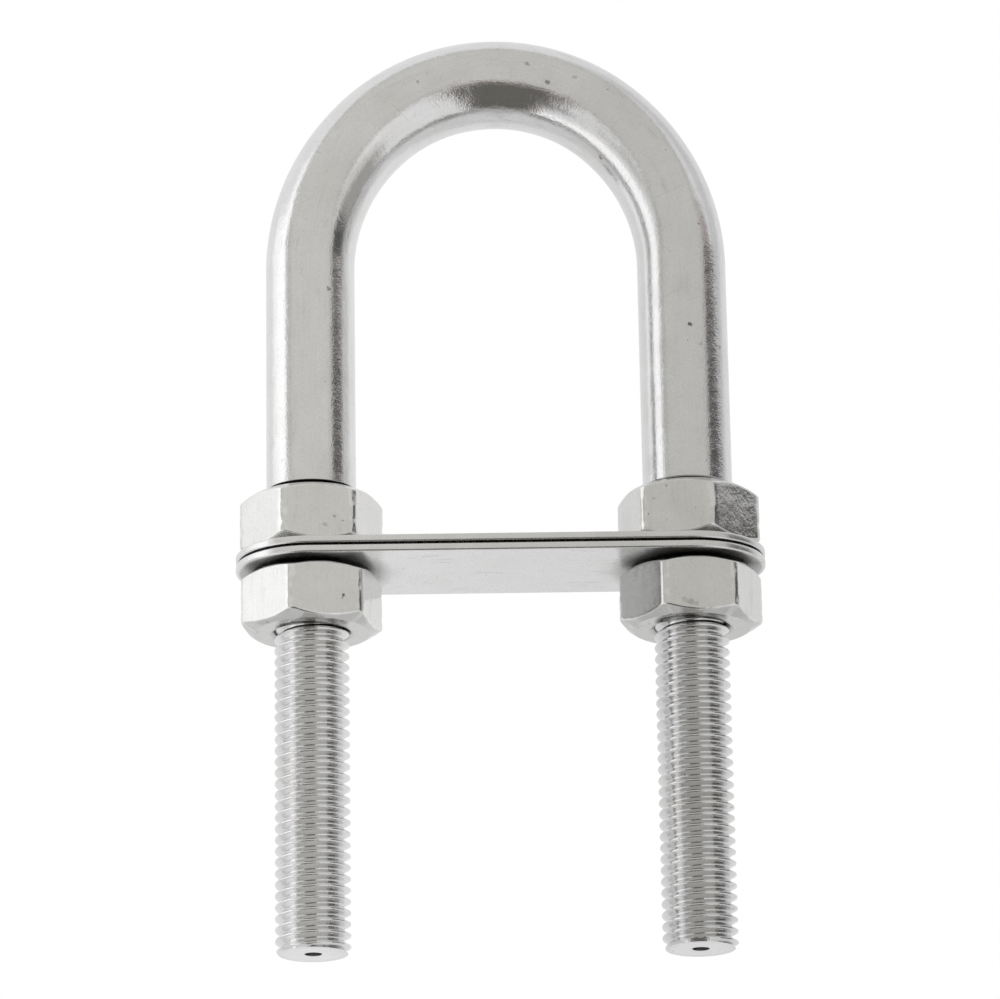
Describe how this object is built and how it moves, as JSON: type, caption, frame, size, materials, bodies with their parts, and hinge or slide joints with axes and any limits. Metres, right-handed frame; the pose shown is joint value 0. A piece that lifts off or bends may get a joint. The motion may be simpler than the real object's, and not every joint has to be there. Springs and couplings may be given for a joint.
{
  "type": "u-bolt pad eye",
  "caption": "Bent round bar bow with two threaded studs, two oblong clamp plates and hexagon nuts, for bolting through a deck as a lashing or lifting eye.",
  "frame": {"origin": "midway between the two studs, on the underside of the upper plate, the face that bears on the deck", "axes": "+Z out of the deck towards the bow, X through both studs, Y across the plates"},
  "size_m": [0.07, 0.02, 0.1267],
  "materials": {
    "polished_bar": "polished stainless steel with fine draw lines",
    "plate": "tumbled stainless steel sheet",
    "nut": "bright cold-formed stainless steel"
  },
  "bodies": {
    "u_bolt": {"u_bolt": "polished_bar"},
    "upper_plate": {"upper_plate": "plate"},
    "lower_plate": {"lower_plate": "plate"},
    "upper_nut_left": {"upper_nut_left": "nut"},
    "upper_nut_right": {"upper_nut_right": "nut"},
    "lower_nut_left": {"lower_nut_left": "nut"},
    "lower_nut_right": {"lower_nut_right": "nut"}
  },
  "joints": [
    {"name": "upper_plate_travel", "type": "slide", "parent": "u_bolt", "child": "upper_plate", "axis": [0, 0, 1], "range_m": [-0.012, 0]},
    {"name": "lower_plate_travel", "type": "slide", "parent": "upper_plate", "child": "lower_plate", "axis": [0, 0, 1], "range_m": [-0.024, 0]},
    {"name": "upper_nut_left_turn", "type": "hinge", "parent": "upper_plate", "child": "upper_nut_left", "pos_m": [-0.025, 0, 0.005], "axis": [0, 0, 1], "range_deg": [-2880, 0]},
    {"name": "upper_nut_right_turn", "type": "hinge", "parent": "upper_plate", "child": "upper_nut_right", "pos_m": [0.025, 0, 0.005], "axis": [0, 0, 1], "range_deg": [-2880, 0]},
    {"name": "lower_nut_left_turn", "type": "hinge", "parent": "lower_plate", "child": "lower_nut_left", "pos_m": [-0.025, 0, -0.0056], "axis": [0, 0, 1], "range_deg": [-5760, 0]},
    {"name": "lower_nut_right_turn", "type": "hinge", "parent": "lower_plate", "child": "lower_nut_right", "pos_m": [0.025, 0, -0.0056], "axis": [0, 0, 1], "range_deg": [-5760, 0]}
  ],
  "couplings": [
    {"joint": "upper_nut_left_turn", "follows": "upper_plate_travel", "rad_per_m": 4188.8},
    {"joint": "upper_nut_right_turn", "follows": "upper_plate_travel", "rad_per_m": 4188.8},
    {"joint": "lower_nut_left_turn", "follows": "lower_plate_travel", "rad_per_m": 4188.8},
    {"joint": "lower_nut_right_turn", "follows": "lower_plate_travel", "rad_per_m": 4188.8}
  ]
}
